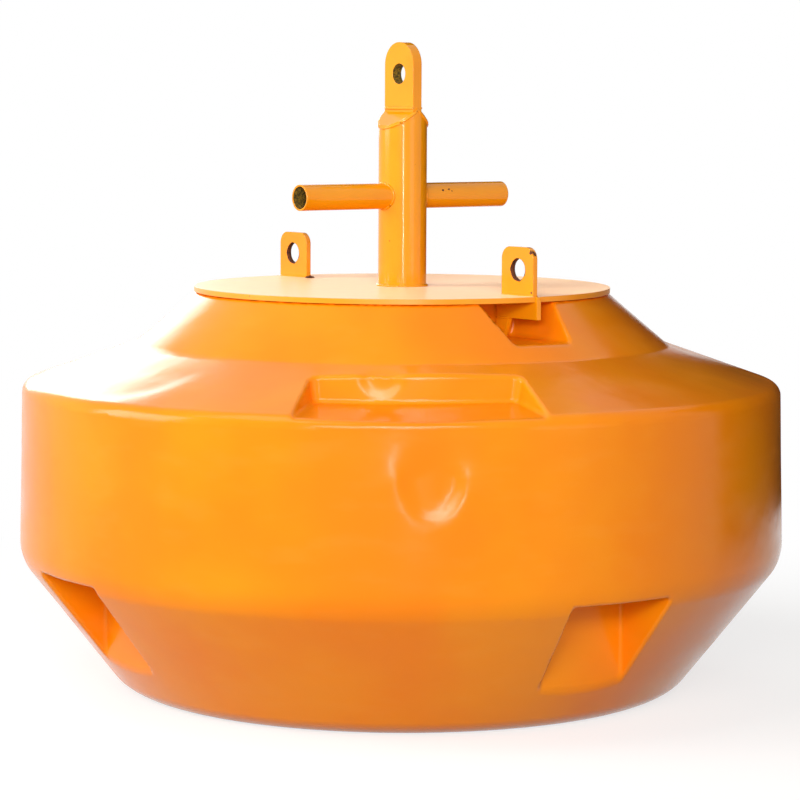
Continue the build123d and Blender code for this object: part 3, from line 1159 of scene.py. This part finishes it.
class BUOY_OT_wear(Operator):
    """Adds the bare bores, whose dark tone is partly painted shade, and the chips and rust"""

    bl_idname = "buoy.wear"
    bl_label = "Chips and rust"

    def execute(self, context):
        look = context.scene.buoy_steel
        rust = bare_steel("rusted_steel", look.rust_dark, look.rust_light)
        # Lines the crossbar and padeye bores with bare steel; its dark tone is partly painted shade for
        # their insides.
        bore = bare_steel("oversprayed_bore_and_shade", look.bore_dark_and_shade, look.bore_light)
        bar_length = BAR_HIGH.x - BAR_LOW.x
        lining("bore_shade_crossbar", (0, 0, BAR_Z), (1, 0, 0), BAR_R - BAR_WALL, bar_length - 2 * MM, bore)
        y, z, radius = EYE_HOLE
        lining("bore_shade_padeye", (0, y, z), (1, 0, 0), radius, EYE_HIGH.x - EYE_LOW.x, bore)
        # The lug bores get rust that breaks out raggedly over the rim; their dark inside is partly painted
        # shade.
        y, z, radius = LUG_HOLE
        for side, name in ((-1, "near"), (1, "far")):
            lining(
                "bore_shade_lug_" + name, (0, side * y, z), (1, 0, 0), radius, 2 * LUG_HALF_THICK, rust, 1.6 * MM
            )
        face, outer, top = -LUG_HALF_THICK, -LUG_OUTER_Y, LUG_HIGH.z
        for name, place, normal, width, height in (
            ("chip_lug_corner", (face, outer + 9 * MM, top - 12 * MM), (-1, 0, 0), 12 * MM, 16 * MM),
            ("chip_lug_edge", (0, outer + 4 * MM, top - 13 * MM), (0, -0.8, 0.6), 9 * MM, 20 * MM),
            ("chip_lug_base", (face, outer + 6 * MM, DECK_TOP + 8 * MM), (-1, 0, 0), 9 * MM, 8 * MM),
        ):
            chip(name, place, normal, width, height, rust)
        for name, x, tilt, size in (
            ("chip_crossbar_1", 100 * MM, 24, 7 * MM),
            ("chip_crossbar_2", 118 * MM, 28, 9 * MM),
            ("chip_crossbar_3", 127 * MM, 20, 5 * MM),
        ):
            lean = math.radians(tilt)
            out = Vector((0, -math.cos(lean), math.sin(lean)))
            chip(name, Vector((x, 0, BAR_Z)) + out * BAR_R, out, size, 0.7 * size, rust)
        chip("rust_deck_notch", (-2 * MM, -DECK_R, DECK_TOP - 4 * MM), (0, -1, 0), 14 * MM, 8 * MM, rust)
        blob("rust_lug_far", (-4 * MM, LUG_INNER_Y - 9 * MM, DECK_TOP), 13 * MM, 6 * MM, rust)
        return {"FINISHED"}


class BUOY_OT_stage(Operator):
    """Sets up the floor, the lamps, the world and the camera"""

    bl_idname = "buoy.stage"
    bl_label = "Studio"

    def execute(self, context):
        look = context.scene.buoy_stage
        make_floor(look)
        make_flags()
        make_world(look)
        make_lamps(look)
        make_camera()
        context.scene.view_settings.view_transform = "Standard"
        return {"FINISHED"}


class BUOY_PT_panel(Panel):
    """Lists the steps that dress the buoy"""

    bl_idname = "BUOY_PT_panel"
    bl_label = "Mooring Buoy"
    bl_space_type = "VIEW_3D"
    bl_region_type = "UI"
    bl_category = "Mooring Buoy"

    def draw(self, context):
        for step in STEPS:
            self.layout.operator(step.bl_idname)
        for look in (context.scene.buoy_hull, context.scene.buoy_steel, context.scene.buoy_stage):
            box = self.layout.box()
            for name in look.__annotations__:
                box.prop(look, name)


STEPS = (BUOY_OT_hull, BUOY_OT_steelwork, BUOY_OT_welds, BUOY_OT_wear, BUOY_OT_stage)
LOOKS = {"buoy_hull": HullLook, "buoy_steel": SteelLook, "buoy_stage": StageLook}


def register():
    """Makes the classes and their properties known to Blender."""
    for kind in (*LOOKS.values(), *STEPS, BUOY_PT_panel):
        bpy.utils.register_class(kind)
    for name, kind in LOOKS.items():
        setattr(bpy.types.Scene, name, PointerProperty(type=kind))


def unregister():
    """Takes them away again."""
    for name in LOOKS:
        delattr(bpy.types.Scene, name)
    for kind in (BUOY_PT_panel, *STEPS[::-1], *LOOKS.values()):
        bpy.utils.unregister_class(kind)


def main():
    """Runs every step in order."""
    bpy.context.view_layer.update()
    register()
    bpy.ops.buoy.hull()
    bpy.ops.buoy.steelwork()
    bpy.ops.buoy.welds()
    bpy.ops.buoy.wear()
    bpy.ops.buoy.stage()


if __name__ == "__main__":
    main()
